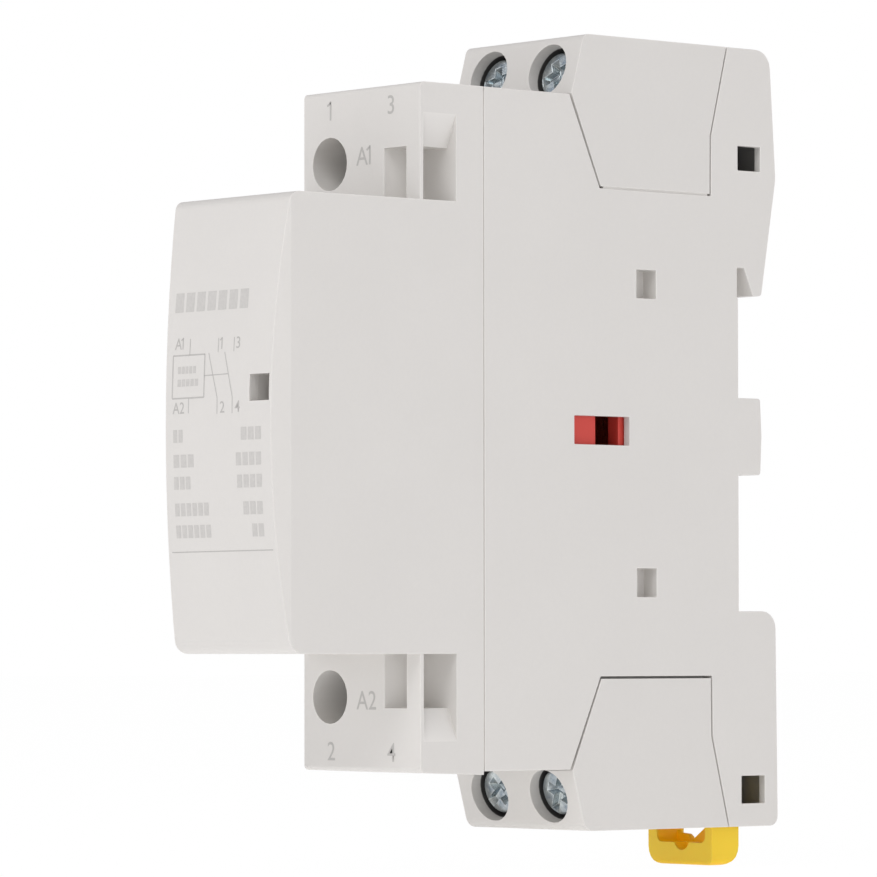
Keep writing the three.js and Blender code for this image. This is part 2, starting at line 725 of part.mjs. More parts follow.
// A rounded rectangle of half sizes [x, z] round the coil's axis.
function coilRound(halfX, halfZ, radius) {
  return [
    [coilX - halfX, -halfZ, radius],
    [coilX + halfX, -halfZ, radius],
    [coilX + halfX, halfZ, radius],
    [coilX - halfX, halfZ, radius],
  ];
}

const tubeX = CORE_STACK / 2 + FIT + 0.7;
const tubeZ = CENTRE_POLE_HALF + FIT + 0.7;
const windingX = CORE_STACK / 2 + 2.3;
const windingZ = OUTER_POLE_IN - 0.8;

function coilBobbin() {
  const tube = frontways(coilRound(tubeX, tubeZ, 0.8), [coilFront, coilBack]);
  const flanges = [coilFront, coilBack - FLANGE].map((y) =>
    frontways(coilRound(windingX + 0.2, windingZ + 0.2, 1), [y, y + FLANGE]),
  );
  const eye = frontways(
    coilRound(CORE_STACK / 2 + FIT, CENTRE_POLE_HALF + FIT, 0.2),
    [coilFront - CUT_THROUGH, coilBack + CUT_THROUGH],
  );
  return cut(join(tube, ...flanges), eye);
}

function coilWinding() {
  const y = [coilFront + FLANGE + 0.1, coilBack - FLANGE - 0.1];
  const outer = frontways(coilRound(windingX, windingZ, 2), y);
  const through = [y[0] - CUT_THROUGH, y[1] + CUT_THROUGH];
  const inner = frontways(coilRound(tubeX + 0.1, tubeZ + 0.1, 0.9), through);
  return cut(outer, inner);
}

piece("magnet_core", magnetCore(), finishes.steel);
piece("shading_ring_upper", shadingRing(), finishes.copper);
piece("shading_ring_lower", shadingRing(), finishes.copper, { lower: true });
piece("coil_bobbin", coilBobbin(), finishes.bobbin);
piece("coil_winding", coilWinding(), finishes.winding);

// ---------- Moving system ----------

const pinY = (armatureFront + armatureBack) / 2;
const PIN_RADIUS = 0.9;
const lugInner = CORE_STACK / 2 + 0.3;
const lugOuter = lugInner + 1.2;

// A round bar along X through the armature, at mid-height.
function barX(radius, [x0, x1], y) {
  const geometry = new THREE.CylinderGeometry(radius, radius, x1 - x0, 16);
  return solid(geometry.rotateZ(Math.PI / 2).translate((x0 + x1) / 2, y, 0));
}

function armature() {
  const bar = sideways(
    [
      [armatureFront, -OUTER_POLE_OUT],
      [armatureFront, OUTER_POLE_OUT],
      [armatureBack, OUTER_POLE_OUT, 0.8],
      [armatureBack, -OUTER_POLE_OUT, 0.8],
    ],
    stackX,
  );
  return cut(bar, barX(PIN_RADIUS + 0.1, [stackX[0] - CUT_THROUGH, stackX[1] + CUT_THROUGH], pinY));
}

const BOSS_HALF = 2.2;
const windowFront = bridgeFront - FIT;

function contactCarrier() {
  const all = around(0, CARRIER_HALF_HEIGHT);
  const body = box([-carrierHalf, carrierHalf], [plateBack - 0.5, CARRIER_BACK], all);
  const plate = box([coilX - lugOuter, coilX + lugOuter], [plateFront, plateBack], all);
  const arms = box(around(springX, 1.9), [plateFront, plateBack], around(0, SPRING_Z + 2.3));
  const lugs = [-1, 1].map((side) => {
    const x = [coilX + side * lugInner, coilX + side * lugOuter].sort((a, b) => a - b);
    return box(x, [armatureFront + 0.6, plateBack], around(0, 2.6));
  });
  const bossY = [plateBack + 0.9, bridgeBack + 1.2];
  const boss = box([carrierHalf - 0.5, inside - 0.15], bossY, around(0, BOSS_HALF));
  const slotBack = windowFront - 0.3;
  const slotFront = slotBack - 3.1;
  const slot = box([3, inside + CUT_THROUGH], [slotFront, slotBack], around(0, BOSS_HALF));
  const slotWindow = box([3, carrierHalf - 1.4], [slotFront, windowFront + 0.1], around(0, BOSS_HALF));
  const windowZ = around(0, CARRIER_HALF_HEIGHT + CUT_THROUGH);
  const windows = [-POLE_X, POLE_X].map((x) =>
    box(around(x, CONTACT_WIDTH / 2 + FIT), [windowFront, carrierWall], windowZ),
  );
  const pinHole = barX(PIN_RADIUS + 0.1, [coilX - lugOuter - 1, coilX + lugOuter + 1], pinY);
  return cut(join(body, plate, arms, ...lugs, boss), slot, slotWindow, pinHole, ...windows);
}

function contactBridge(x) {
  const reach = TIP_Z + TIP_RADIUS + 0.6;
  return frontways(
    [
      [x - CONTACT_WIDTH / 2, -reach, 0.8],
      [x + CONTACT_WIDTH / 2, -reach, 0.8],
      [x + CONTACT_WIDTH / 2, reach, 0.8],
      [x - CONTACT_WIDTH / 2, reach, 0.8],
    ],
    [bridgeFront, bridgeBack],
  );
}

// The centre line of a coil spring along Y.
class Helix extends THREE.Curve {
  constructor([x, z], [y0, y1], radius, turns) {
    super();
    Object.assign(this, { x, z, y0, y1, radius, turns });
  }

  getPoint(t, target = new THREE.Vector3()) {
    const angle = 2 * Math.PI * this.turns * t;
    return target.set(
      this.x + this.radius * Math.cos(angle),
      this.y0 + (this.y1 - this.y0) * t,
      this.z + this.radius * Math.sin(angle),
    );
  }
}

function coilSpring(centre, [y0, y1], radius, wire, turns) {
  const path = new Helix(centre, [y0 + wire + 0.1, y1 - wire - 0.1], radius, turns);
  const section = new THREE.Shape();
  const sides = 6;
  for (let k = 0; k < sides; k++) {
    const angle = (2 * Math.PI * k) / sides;
    const point = [wire * Math.cos(angle), wire * Math.sin(angle)];
    if (k === 0) section.moveTo(...point);
    else section.lineTo(...point);
  }
  const steps = turns * 12;
  return new THREE.ExtrudeGeometry(section, { steps, extrudePath: path, bevelEnabled: false });
}

function indicatorFlag() {
  const front = NOSE_FRONT + SHELL + STROKE + 0.3;
  const rod = box([inside - 2.7, inside - 0.7], [front + 1, plateBack - 0.7], [2.4, 4.2]);
  const face = box([inside - 2.9, inside - 0.5], [front, front + 1.1], [2.3, 4.5]);
  return join(rod, face);
}

piece("armature", armature(), finishes.steel);
const pinReach = [coilX - lugOuter + 0.1, coilX + lugOuter - 0.1];
piece("armature_pin", barX(PIN_RADIUS, pinReach, pinY), finishes.steel);
piece("contact_carrier", contactCarrier(), finishes.carrier);
piece("indicator_flag", indicatorFlag(), finishes.flag);

for (const [name, end] of [["upper", 1], ["lower", -1]]) {
  const centre = [springX, end * SPRING_Z];
  const spring = coilSpring(centre, [SPRING_SEAT, plateFront], SPRING_RADIUS, SPRING_WIRE, 6);
  piece("return_spring_" + name, spring, finishes.spring);
}

for (const [name, x] of [["left", -POLE_X], ["right", POLE_X]]) {
  piece("contact_bridge_" + name, contactBridge(x), finishes.copper);
  const spring = coilSpring([x, 0], [bridgeBack, carrierWall], 1.45, 0.3, 4);
  piece("contact_spring_" + name, spring, finishes.spring);
}

// ---------- Rail clip ----------

function railClip() {
  const thinFrom = SLOT_FLOOR - 5;
  const body = sideways(
    [
      [CLIP_FRONT, CLIP_BOTTOM, 0.4],
      [CLIP_BACK, CLIP_BOTTOM, 2],
      [CLIP_BACK, CLIP_TIP],
      [1.9, CLIP_TIP],
      [1.2, CLIP_TIP - 1.2],
      [1.2, thinFrom],
      [CLIP_FRONT, thinFrom],
    ],
    [CLIP_LEFT, CLIP_RIGHT],
  );
  const face = frontways(
    [
      [CLIP_LEFT, CLIP_BOTTOM, 1.8],
      [CLIP_RIGHT, CLIP_BOTTOM, 0.8],
      [CLIP_RIGHT, CLIP_TIP + 1],
      [CLIP_LEFT, CLIP_TIP + 1],
    ],
    [CLIP_FRONT - 1, CLIP_BACK + 1],
  );
  const eye = frontways(
    [
      [CLIP_LEFT + 1.3, CLIP_BOTTOM + 2.3, 0.7],
      [CLIP_RIGHT - 1, CLIP_BOTTOM + 2.3, 0.7],
      [CLIP_RIGHT - 1, thinFrom - 2, 1],
      [CLIP_LEFT + 1.3, thinFrom - 2, 1],
    ],
    [CLIP_FRONT - 1, CLIP_BACK + 1],
  );
  return cut(body.intersect(face), eye);
}

piece("rail_clip", railClip(), finishes.clip);

export default contactor;
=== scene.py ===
# %% [markdown]
# A one-module contactor for a 35 mm rail: a pale grey case with a crowned nose, screw
# terminals at both ends, a red contact slide behind a small window and a yellow rail latch.
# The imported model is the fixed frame: it gives every size and place. This file only makes
# the looks around it, so each new piece rides on a body of the frame.

# %% Load the frame
import json
import math

import bmesh
import bpy
from mathutils import Matrix, Vector


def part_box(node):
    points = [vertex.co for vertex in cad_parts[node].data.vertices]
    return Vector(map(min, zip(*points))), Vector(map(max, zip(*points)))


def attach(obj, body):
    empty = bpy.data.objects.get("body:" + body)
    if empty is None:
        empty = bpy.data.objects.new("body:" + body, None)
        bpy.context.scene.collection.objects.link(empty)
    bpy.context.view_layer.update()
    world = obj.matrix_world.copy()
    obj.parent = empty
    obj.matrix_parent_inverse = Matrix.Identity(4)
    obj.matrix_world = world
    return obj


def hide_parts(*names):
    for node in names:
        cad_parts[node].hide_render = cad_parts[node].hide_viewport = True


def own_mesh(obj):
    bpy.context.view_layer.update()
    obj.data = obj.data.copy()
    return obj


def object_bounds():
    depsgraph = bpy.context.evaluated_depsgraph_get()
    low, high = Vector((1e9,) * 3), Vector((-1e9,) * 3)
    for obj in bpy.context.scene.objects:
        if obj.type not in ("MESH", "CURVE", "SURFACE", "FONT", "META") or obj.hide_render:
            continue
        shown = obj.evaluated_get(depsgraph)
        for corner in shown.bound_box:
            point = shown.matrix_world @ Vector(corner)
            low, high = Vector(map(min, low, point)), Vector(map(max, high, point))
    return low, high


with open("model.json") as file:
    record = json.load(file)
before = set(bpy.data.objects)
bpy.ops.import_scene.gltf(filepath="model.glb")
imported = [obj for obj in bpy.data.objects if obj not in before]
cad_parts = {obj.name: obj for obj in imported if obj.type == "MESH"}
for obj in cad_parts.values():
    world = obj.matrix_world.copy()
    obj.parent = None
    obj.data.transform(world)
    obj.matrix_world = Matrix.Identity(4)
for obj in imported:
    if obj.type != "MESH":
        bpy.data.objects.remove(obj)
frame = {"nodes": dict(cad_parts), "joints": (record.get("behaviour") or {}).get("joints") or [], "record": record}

mm = 0.001
cad_low, cad_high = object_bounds()
body_of = {
    node: body
    for body, nodes in frame["record"]["behaviour"]["bodies"].items()
    for node in nodes
}
joints = {joint["name"]: joint for joint in frame["joints"]}
print("nodes:", len(body_of), "size in mm:", [round(v / mm, 1) for v in cad_high - cad_low])

# %% [markdown]
# The camera comes first, because every later choice is judged through it. A long lens from
# the front right keeps the tall, narrow case almost free of perspective. Its place is in
# millimetres in the part's frame, and its turn is an azimuth, a slight upward pitch and a
# trace of roll.

# %% Camera
CAMERA_PLACE = Vector((426.12, -397.86, -21.51)) * mm
CAMERA_AZIMUTH, CAMERA_PITCH, CAMERA_ROLL = 49.426, 2.121, -0.061
turn = (
    Matrix.Rotation(math.radians(CAMERA_AZIMUTH), 4, "Z")
    @ Matrix.Rotation(math.radians(90 + CAMERA_PITCH), 4, "X")
    @ Matrix.Rotation(math.radians(CAMERA_ROLL), 4, "Z")
)
bpy.ops.object.camera_add(location=CAMERA_PLACE, rotation=turn.to_euler())
camera = bpy.context.object
camera.data.lens = 229.7
camera.data.sensor_width = 36
bpy.context.scene.camera = camera
print("camera", round(camera.location.length, 3), "m from the part")

# %% [markdown]
# The studio is white all round, as for a catalogue. A white world gives soft light without
# hard shadows; three large area lights then give the faces different tones, brightest from
# above. The camera sees the world a little brighter than the object does, so that the
# backdrop is clean white.

# %% Studio
bpy.context.scene.view_settings.view_transform = "Standard"
world = bpy.data.worlds.new("white_studio")
bpy.context.scene.world = world
world.use_nodes = True
sky = world.node_tree
soft = sky.nodes["Background"]
soft.inputs["Color"].default_value = (0.982, 0.972, 1.0, 1)
soft.inputs["Strength"].default_value = 0.5
backdrop = sky.nodes.new("ShaderNodeBackground")
backdrop.inputs["Color"].default_value = (1, 1, 1, 1)
seen = sky.nodes.new("ShaderNodeLightPath")
both = sky.nodes.new("ShaderNodeMixShader")
sky.links.new(seen.outputs["Is Camera Ray"], both.inputs["Fac"])
sky.links.new(soft.outputs[0], both.inputs[1])
sky.links.new(backdrop.outputs[0], both.inputs[2])
sky.links.new(both.outputs[0], sky.nodes["World Output"].inputs["Surface"])

AREA_LIGHTS = [
    # name, place in metres, size, watts
    ("key_above_front", (0.28, -0.55, 0.62), 0.45, 2.2),
    ("fill_right", (0.75, 0.1, 0.12), 0.5, 0.8),
    ("fill_left", (-0.6, -0.6, 0.1), 0.6, 1.1),
]
for name, place, size, watts in AREA_LIGHTS:
    facing = Vector(place).to_track_quat("Z", "Y").to_euler()
    bpy.ops.object.light_add(type="AREA", location=place, rotation=facing)
    lamp = bpy.context.object
    lamp.name = name
    lamp.data.size = size
    lamp.data.energy = watts
print("lights:", [name for name, *_ in AREA_LIGHTS])

# %% [markdown]
# Shader maths reads best as ordinary expressions. A small class wraps one socket and
# overloads the operators used below; each use adds its Math node. Every other node comes
# from one method, which takes the type, the settings and then the inputs.

# %% Shader helpers
class Signal:
    """One number or colour that varies over a surface."""

    def __init__(self, finish, socket):
        self.finish = finish
        self.socket = socket

    def math(self, operation, *values):
        return self.finish.node("Math", {"operation": operation}, dict(enumerate(values)))

    def __add__(self, other):
        return self.math("ADD", self, other)

    def __radd__(self, other):
        return self.math("ADD", other, self)

    def __sub__(self, other):
        return self.math("SUBTRACT", self, other)

    def __rsub__(self, other):
        return self.math("SUBTRACT", other, self)

    def __mul__(self, other):
        return self.math("MULTIPLY", self, other)

    def __rmul__(self, other):
        return self.math("MULTIPLY", other, self)

    def __truediv__(self, other):
        return self.math("DIVIDE", self, other)

    def __gt__(self, other):
        return self.math("GREATER_THAN", self, other)

    def __lt__(self, other):
        return self.math("LESS_THAN", self, other)

    def __abs__(self):
        return self.math("ABSOLUTE", self)

    def clamped(self):
        return self.math("MINIMUM", self.math("MAXIMUM", self, 0.0), 1.0)


class Finish:
    """A material whose nodes are added one by one and end in its shader."""

    def __init__(self, name, roughness=0.5, metallic=0.0, **constants):
        self.material = bpy.data.materials.new(name)
        self.material.use_nodes = True
        self.tree = self.material.node_tree
        self.shader = self.tree.nodes["Principled BSDF"]
        self.set("Roughness", roughness)
        self.set("Metallic", metallic)
        for socket, value in constants.items():
            self.set(socket.replace("_", " "), value)

    def set(self, socket, value):
        self.feed(self.shader.inputs[socket], value)

    def feed(self, socket, value):
        if isinstance(value, Signal):
            self.tree.links.new(value.socket, socket)
        else:
            socket.default_value = value

    def node(self, kind, settings=None, inputs=None, output=0):
        made = self.tree.nodes.new("ShaderNode" + kind)
        for key, value in (settings or {}).items():
            setattr(made, key, value)
        for key, value in (inputs or {}).items():
            self.feed(made.inputs[key], value)
        return Signal(self, made.outputs[output])

    def place(self):
        return self.node("TexCoord", output="Object")

    def axes(self):
        split = self.node("SeparateXYZ", inputs={0: self.place()}).socket.node
        return [Signal(self, output) for output in split.outputs]

    def noise(self, scale, detail=2.0, roughness=0.5, at=None):
        place = at or self.place()
        inputs = {"Vector": place, "Scale": scale, "Detail": detail, "Roughness": roughness}
        return self.node("TexNoise", inputs=inputs, output="Fac")

    def blend(self, factor, first, second):
        made = self.tree.nodes.new("ShaderNodeMix")
        made.data_type = "RGBA"
        self.feed(made.inputs[0], factor)
        for socket, colour in ((made.inputs[6], first), (made.inputs[7], second)):
            self.feed(socket, colour if isinstance(colour, Signal) else (*colour, 1))
        return Signal(self, made.outputs[2])

    def bump(self, height, depth, strength=1.0, under=None):
        inputs = {"Height": height, "Distance": depth, "Strength": strength}
        if under:
            inputs["Normal"] = under
        return self.node("Bump", inputs=inputs)

    def edges(self, reach=0.22):
        """Near 1 within a reach in millimetres of an edge, 0 on flats."""
        rounded = self.node("Bevel", {"samples": 4}, {"Radius": reach * mm})
        plain = self.node("NewGeometry", output="True Normal")
        inputs = {0: rounded, 1: plain}
        facing = self.node("VectorMath", {"operation": "DOT_PRODUCT"}, inputs, output="Value")
        return ((1 - facing) * 9.0).clamped()


def shade(colour, factor):
    return tuple(min(channel * factor, 1.0) for channel in colour)


finishes = {}
print("shader helpers ready")

# %% [markdown]
# The case is moulded in a glass-filled nylon: warm pale grey, nearly matt, with a fine
# sparked texture. Near every edge the colour is lifted as a painted highlight. Two noises
# give the texture: a broad one drifts the colour by a percent or two and a fine one gives the grain.
# Behind the small windows and deep in the screw bores no daylight arrives, so boxes and
# bores stated in the part's own frame darken the plastic there as painted shade.

# %% Moulded plastics
def inside_box(finish, low, high):
    """1 where the surface lies between two corners, given in millimetres."""
    mask = None
    for axis, (start, end) in zip(finish.axes(), zip(low, high)):
        both_sides = (axis > start * mm) * (axis < end * mm)
        mask = both_sides if mask is None else mask * both_sides
    return mask


def moulded(name, colour, roughness, grain_depth=0.006, edge_highlight=1.16, dark=None):
    finish = Finish(name, IOR=1.5)
    drift = finish.noise(90, detail=3)
    speck = finish.noise(2600, detail=2)
    tone = finish.blend(drift, shade(colour, 0.975), shade(colour, 1.02))
    tone = finish.blend(speck * 0.25, tone, shade(colour, 0.9))
    # painted highlight: the colour is lifted near every edge
    tone = finish.blend(finish.edges() * 0.7, tone, shade(colour, edge_highlight))
    # painted shade: where a mask is given, the colour goes towards near black
    if dark:
        tone = finish.blend(dark(finish), tone, shade(colour, 0.06))
    finish.set("Base Color", tone)
    finish.set("Roughness", roughness + (speck - 0.5) * 0.12)
    grain = finish.noise(5200, detail=3, roughness=0.65)
    finish.set("Normal", finish.bump(grain, grain_depth * mm, 0.55))
    return finish.material


HOUSING = (0.725, 0.704, 0.675)
# Corners in mm of the spaces behind the two rear windows and inside the slide's slot.
HIDDEN_BOXES = [((0.9, -1.3, 26), (8.05, 4.1, 31.7)), ((4.6, -0.5, -39.1), (8.05, 4.3, -32.9))]
SLIDE_SLOT = ((2.9, -19, -2.3), (6.4, -15.7, 2.3))


# painted shade in the hollows behind the two rear windows
def dark_windows(finish):
    mask = 0
    for low, high in HIDDEN_BOXES:
        mask = inside_box(finish, low, high) + mask
    return mask.clamped() * 0.6


BORE_MOUTH = Vector(joints["screw_1_turn"]["pos_m"])
BORE_AXIS = Vector(joints["screw_1_turn"]["axis"])
LIT_DEPTH = 1.2  # mm from the screw's place to where the wall is dark
BORE_REACH = 2.9  # mm from the screw's axis


# painted shade deep in the screw bores, below a lit rim
def dark_bores(finish):
    x, y, z = finish.axes()
    from_y, from_z = y - BORE_MOUTH.y, abs(z) - BORE_MOUTH.z
    depth = from_y * BORE_AXIS.y + from_z * BORE_AXIS.z
    sideways = from_y * BORE_AXIS.z - from_z * BORE_AXIS.y
    across = abs(x) - abs(BORE_MOUTH.x)
    near = across * across + sideways * sideways < (BORE_REACH * mm) ** 2
    deep = ((depth - LIT_DEPTH * mm) / (0.12 * mm)).clamped()
    return deep * near * 0.97


# painted shade inside the slide's slot
def dark_slot(finish):
    return inside_box(finish, *SLIDE_SLOT) * 0.9


block_colour = shade(HOUSING, 0.985)
finishes["housing_grey"] = moulded("moulded_grey", HOUSING, 0.5, dark=dark_windows)
finishes["block_grey"] = moulded("moulded_grey_block", block_colour, 0.5, dark=dark_bores)
# the slide's 1.35 is a stronger painted edge highlight, and its slot gets painted shade
finishes["carrier_red"] = moulded("slide_red", (0.68, 0.065, 0.048), 0.38, 0.003, 1.35, dark_slot)
finishes["flag_dark"] = moulded("flag_grey", (0.3, 0.29, 0.28), 0.45, 0.003)
finishes["bobbin_white"] = moulded("bobbin_nylon", (0.74, 0.7, 0.6), 0.42, 0.004)
print("plastics:", sorted(finishes))

# %% [markdown]
# The latch is acetal in a warm yellow. It is smoother than the case and lets a little light
# into its surface; subsurface light is a constant on the shader. A box around the eye,
# stated in the part's frame, paints a deeper orange and a little emission there: painted
# shade and a painted glow in place of the light that comes through the thin walls. Near its
# edges the yellow is lifted as a painted highlight.

# %% Latch yellow
LATCH_EYE = ((-3.15, -0.2, -42.8), (4.35, 3.2, -24))  # corners in mm


def latch_yellow():
    colour = (0.97, 0.66, 0.03)
    finish = Finish("latch_yellow", IOR=1.4, Subsurface_Weight=0.12, Subsurface_Scale=0.8 * mm)
    drift = finish.noise(160, detail=2)
    tone = finish.blend(drift, shade(colour, 0.96), (0.99, 0.7, 0.04))
    # painted shade and painted glow: the eye is deepened to orange and given a little emission
    eye_shade_and_glow = inside_box(finish, *LATCH_EYE)
    tone = finish.blend(eye_shade_and_glow * 0.85, tone, (0.9, 0.45, 0.01))
    # painted highlight: the yellow is lifted near every edge
    tone = finish.blend(finish.edges() * 0.4, tone, (0.95, 0.72, 0.1))
    finish.set("Base Color", tone)
    finish.set("Emission Color", finish.blend(eye_shade_and_glow, (0, 0, 0), (0.9, 0.5, 0.0)))
    finish.set("Emission Strength", 0.16)
    finish.set("Roughness", 0.34 + drift * 0.1)
    swirl = finish.noise(900, detail=2)
    finish.set("Normal", finish.bump(swirl, 0.004 * mm, 0.4))
    return finish.material


finishes["clip_yellow"] = latch_yellow()
print("latch finish ready")

# %% [markdown]
# Metals differ by plating and by how they were worked. The screws and cages carry a bright
# zinc plate with a cold blue passivation that pools unevenly; contacts are stamped copper
# with a warm tarnish; the tips are a satin silver alloy; springs are drawn wire. One recipe
# covers them: a tint that drifts to a second tint, streaks in the roughness, and a painted highlight near every
# edge.

# %% Metals
def metal(name, colour, second, roughness, streak=(400, 400, 400), bite=0.004, cloud=900):
    finish = Finish(name, metallic=1.0)
    drift = finish.noise(cloud, detail=4, roughness=0.6)
    tone = finish.blend(((drift - 0.35) * 3.0).clamped(), colour, second)
    # painted highlight: the tint is brightened near every edge
    tone = finish.blend(finish.edges(0.1) * 0.6, tone, shade(colour, 1.4))
    stretched = finish.node("Mapping", inputs={"Vector": finish.place(), "Scale": streak})
    lines = finish.noise(12.0, detail=3, at=stretched)
    finish.set("Base Color", tone)
    finish.set("Roughness", (roughness + (lines - 0.5) * 0.18 + (drift - 0.5) * 0.1).clamped())
    finish.set("Normal", finish.bump(lines, bite * mm, 0.5))
    return finish.material


finishes["zinc_steel"] = metal(
    "blue_zinc", (0.6, 0.64, 0.64), (0.24, 0.29, 0.34), 0.2, (900, 900, 900), 0.02
)
finishes["contact_copper"] = metal(
    "stamped_copper", (0.72, 0.33, 0.17), (0.5, 0.2, 0.1), 0.3, (900, 100, 100)
)
finishes["contact_silver"] = metal("silver_alloy", (0.8, 0.79, 0.76), (0.66, 0.65, 0.62), 0.32)
finishes["spring_steel"] = metal("drawn_wire", (0.5, 0.51, 0.53), (0.4, 0.41, 0.43), 0.26)
print("metals ready")

# %% [markdown]
# The magnet is a pack of silicon steel sheets half a millimetre thick. Modelling each sheet
# would only add slivers, so the joints between sheets are stripes across X: a wave that
# darkens the colour and dips the surface. The winding is thousands of turns of enamelled
# wire laid along the coil, which is the same idea with a finer wave along Y.

# %% Laminations and winding
def stripes(finish, axis, pitch):
    """Thin grooves across one axis, 0 in a groove and 1 between grooves."""
    phase = finish.axes()[axis] / (pitch * mm)
    away = abs(phase.math("FRACT", phase) - 0.5)
    return 1 - ((away - 0.42) / 0.06).clamped()


def laminated():
    finish = Finish("laminated_steel", metallic=1.0)
    sheet = stripes(finish, 0, 0.5)
    drift = finish.noise(700, detail=3)
    bright = finish.blend(drift, (0.34, 0.35, 0.37), (0.45, 0.46, 0.48))
    finish.set("Base Color", finish.blend(sheet, (0.12, 0.12, 0.13), bright))
    finish.set("Roughness", 0.34 + drift * 0.18)
    finish.set("Normal", finish.bump(sheet, 0.02 * mm, 0.6))
    return finish.material


def wound():
    finish = Finish("enamelled_wire", roughness=0.28, metallic=0.85, Coat_Roughness=0.15)
    turns = stripes(finish, 1, 0.22)
    drift = finish.noise(350, detail=3)
    wire = finish.blend(drift, (0.42, 0.13, 0.045), (0.60, 0.23, 0.08))
    finish.set("Base Color", finish.blend(turns, (0.12, 0.03, 0.01), wire))
    finish.set("Coat Weight", 0.3 + drift * 0.3)
    finish.set("Normal", finish.bump(turns, 0.05 * mm, 0.8))
    return finish.material


finishes["core_steel"] = laminated()
finishes["winding_copper"] = wound()
print("finishes:", len(finishes))

# %% [markdown]
# The marks on the case are pad-printed in a grey only a little darker than the plastic. The
# blocks that stand for lines of print are fainter than the diagram and the numbers. Ink is
# slightly glossier than the plastic under it and never lies evenly, so noise mottles it.

# %% Ink
def ink(name, strength):
    finish = Finish(name)
    drift = finish.noise(3000, detail=2)
    tone = shade(HOUSING, strength)
    finish.set("Base Color", finish.blend(drift, shade(tone, 0.9), shade(tone, 1.1)))
    finish.set("Roughness", 0.4 + drift * 0.1)
    return finish.material


printed_ink = ink("printed_ink", 0.68)
faint_ink = ink("faint_ink", 0.8)
print("ink ready")

# %% [markdown]
# Modelling is done with Blender's own operators. They act on whatever is selected, so each
# helper starts by deselecting everything. A finished piece has its place in its mesh, its
# finish, the body that it rides on and the nodes that it stands for.

# %% Modelling helpers
SOFT_ANGLE = math.radians(50)  # edges flatter than this are shaded smooth
TURNED_ANGLE = math.radians(40)


def only(piece):
    bpy.ops.object.select_all(action="DESELECT")
    piece.select_set(True)
    bpy.context.view_layer.objects.active = piece


def modify(piece, kind, **settings):
    """Adds one modifier and applies it."""
    only(piece)
    modifier = piece.modifiers.new(kind.lower(), kind)
    for key, value in settings.items():
        setattr(modifier, key, value)
    bpy.ops.object.modifier_apply(modifier=modifier.name)


def soften(piece, width, segments=2, angle=32):
    """Rounds every edge sharper than the angle and keeps the flats flat."""
    modify(
        piece,
        "BEVEL",
        width=width * mm,
        segments=segments,
        limit_method="ANGLE",
        angle_limit=math.radians(angle),
        use_clamp_overlap=True,
        miter_outer="MITER_ARC",
        face_strength_mode="FSTR_ALL",
    )
    only(piece)
    bpy.ops.object.shade_smooth_by_angle(angle=SOFT_ANGLE)
    modify(piece, "WEIGHTED_NORMAL", keep_sharp=True, use_face_influence=True)


def merged(piece, flat=0.4):
    """Joins loose triangles into whole faces."""
    only(piece)
    bpy.ops.object.mode_set(mode="EDIT")
    bpy.ops.mesh.select_all(action="SELECT")
    bpy.ops.mesh.remove_doubles(threshold=0.002 * mm)
    bpy.ops.mesh.dissolve_limited(angle_limit=math.radians(flat))
    bpy.ops.mesh.normals_make_consistent(inside=False)
    bpy.ops.object.mode_set(mode="OBJECT")


def copy_of(node, name):
    source = frame["nodes"][node]
    piece = bpy.data.objects.new(name, source.data.copy())
    bpy.context.scene.collection.objects.link(piece)
    merged(piece)
    return piece


def settle(piece, body, slot, *nodes, material=None):
    """Puts a finished piece's place into its mesh and ties it to the frame."""
    only(piece)
    bpy.ops.object.transform_apply(location=True, rotation=True, scale=True)
    piece.data.materials.clear()
    piece.data.materials.append(material or finishes[slot])
    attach(piece, body)
    if nodes:
        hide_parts(*nodes)
    return piece


def corners_of(node):
    low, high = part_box(node)
    return low / mm, high / mm


print("helpers ready")

# %% [markdown]
# Case and blocks: the frame's shapes are right, but their edges are perfectly sharp. A real
# moulding has small radii everywhere, and they draw the bright lines that tell the eye it is
# plastic. Each moulding is copied, merged into whole faces and given a bevel. The shoulders'
# left corners are rounder than the rest, so those edges are picked by place and bevelled
# first.

# %% Case mouldings
CASE_RADII = {
    "front_cover": 0.2,
    "base_housing": 0.14,
    "upper_terminal_block": 0.16,
    "lower_terminal_block": 0.16,
}
SHOULDER_CORNERS = {"front_cover": 0.95, "base_housing": 0.95}
slots = {part["node"]: part["material_slot"] for part in frame["record"]["subparts"]}
case = {}


def on_left_shoulder(start, end):
    """True for the long edges where a shoulder's top or bottom meets the left side."""
    left = max(start.x, end.x) < cad_low.x + 0.05 * mm
    outer = all(33.4 * mm < abs(point.z) < 34.6 * mm for point in (start, end))
    return left and outer and abs(start.y - end.y) > 2 * mm


def round_edges(piece, test, radius):
    """Gives the chosen edges a larger radius than the rest."""
    only(piece)
    bpy.ops.object.mode_set(mode="EDIT")
    bpy.ops.mesh.select_mode(type="EDGE")
    bpy.ops.mesh.select_all(action="DESELECT")
    shape = bmesh.from_edit_mesh(piece.data)
    chosen = [edge for edge in shape.edges if test(*(vertex.co for vertex in edge.verts))]
    for edge in chosen:
        edge.select_set(True)
    bmesh.update_edit_mesh(piece.data)
    print("edges rounded first:", len(chosen))
    bpy.ops.mesh.bevel(offset=radius * mm, segments=6, affect="EDGES")
    bpy.ops.object.mode_set(mode="OBJECT")


for node, radius in CASE_RADII.items():
    piece = copy_of(node, node + "_moulding")
    if node in SHOULDER_CORNERS:
        round_edges(piece, on_left_shoulder, SHOULDER_CORNERS[node])
    soften(piece, radius)
    case[node] = settle(piece, body_of[node], slots[node], node)
    print(node, len(piece.data.polygons), "faces")

# %% [markdown]
# Stampings and small mouldings: contacts, bridges, cages, coil strips, shading rings, the
# bobbin, the armature and the slide get the same treatment with smaller radii, as sheet
# metal is only deburred.

